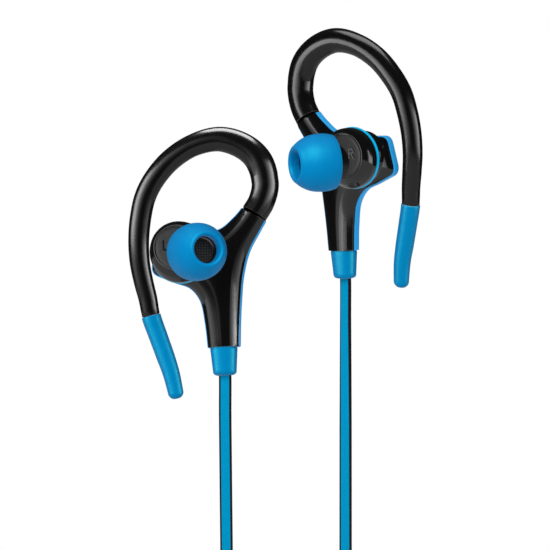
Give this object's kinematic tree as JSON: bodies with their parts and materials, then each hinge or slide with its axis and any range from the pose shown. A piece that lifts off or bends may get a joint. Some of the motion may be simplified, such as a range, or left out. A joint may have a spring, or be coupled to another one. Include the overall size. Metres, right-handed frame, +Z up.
{
  "type": "sports earphones",
  "caption": "Wired in-ear sports earphones with soft over-ear hooks, blue ear tips, a flat two-colour cable, in-line remote and jack plug.",
  "frame": {"origin": "the point under the top of the left ear hook where it rests on the ear", "axes": "+Z up as worn; +X across the pair, from the left bud to the right bud; +Y away from the side that the ear tips face"},
  "size_m": [0.0623, 0.1018, 0.1258],
  "materials": {
    "gloss_black": "polished",
    "satin_black": "satin",
    "rubber_black": "satin soft touch",
    "blue_silicone": "matte silicone",
    "blue_rubber": "satin",
    "blue_band": "gloss",
    "cyan_ring": "gloss",
    "dark_grey": "fine matte",
    "cable": "satin, blue faces and black edges",
    "steel": "satin",
    "gold": "polished plating",
    "board": "lacquered",
    "film": "thin film",
    "mesh_black": "fine woven mesh"
  },
  "bodies": {
    "root": {"front_shell_left": "gloss_black", "rear_shell_left": "gloss_black", "mid_band_left": "blue_band", "driver_pod_left": "gloss_black", "pod_cap_left": "dark_grey", "pod_ring_left": "cyan_ring", "driver_frame_left": "steel", "driver_magnet_left": "steel", "diaphragm_left": "film", "nozzle_left": "satin_black", "nozzle_mesh_left": "mesh_black", "strain_relief_left": "blue_rubber", "cable_anchor_left": "cable", "front_shell_right": "gloss_black", "rear_shell_right": "gloss_black", "mid_band_right": "blue_band", "driver_pod_right": "gloss_black", "pod_cap_right": "dark_grey", "pod_ring_right": "cyan_ring", "driver_frame_right": "steel", "driver_magnet_right": "steel", "diaphragm_right": "film", "nozzle_right": "satin_black", "nozzle_mesh_right": "mesh_black", "strain_relief_right": "blue_rubber", "cable_anchor_right": "cable", "cable_left": "cable", "cable_left_coil": "cable", "cable_right_upper": "cable", "cable_right_lower": "cable", "cable_right_coil": "cable", "cable_main_coil": "cable", "cable_main_end": "cable", "splitter_front": "satin_black", "splitter_back": "satin_black", "remote_cover": "satin_black", "remote_back": "satin_black", "remote_board": "board", "microphone": "steel", "plug_boot": "blue_rubber", "plug_grip": "satin_black", "plug_core": "satin_black", "plug_sleeve": "gold", "plug_ring_2": "gold", "plug_ring_1": "gold", "plug_tip": "gold", "cable_tie_1": "rubber_black", "cable_tie_2": "rubber_black"},
    "hook_left": {"ear_hook_left": "rubber_black", "hook_tip_left": "blue_rubber"},
    "hook_right": {"ear_hook_right": "rubber_black", "hook_tip_right": "blue_rubber"},
    "tip_left": {"ear_tip_left": "blue_silicone"},
    "tip_right": {"ear_tip_right": "blue_silicone"},
    "button": {"remote_button": "blue_rubber"}
  },
  "joints": [
    {"name": "hook_flex_left", "type": "hinge", "parent": "root", "child": "hook_left", "pos_m": [0.00924, -0.00271, -0.01081], "axis": [0.1431, 0.9865, -0.08], "range_deg": [-1, 18], "stiffness_Nm_per_rad": 0.02},
    {"name": "hook_flex_right", "type": "hinge", "parent": "root", "child": "hook_right", "pos_m": [0.01818, -0.00391, 0.00951], "axis": [-0.5839, -0.8069, -0.089], "range_deg": [-1, 18], "stiffness_Nm_per_rad": 0.02},
    {"name": "tip_pull_left", "type": "slide", "parent": "root", "child": "tip_left", "axis": [0.403, -0.91, 0.097], "range_m": [0, 0.009]},
    {"name": "tip_pull_right", "type": "slide", "parent": "root", "child": "tip_right", "axis": [-0.9252, -0.3731, -0.07], "range_m": [0, 0.009]},
    {"name": "button_press", "type": "slide", "parent": "root", "child": "button", "axis": [0, 0, -1], "range_m": [0, 0.00035], "stiffness_N_per_m": 900}
  ]
}
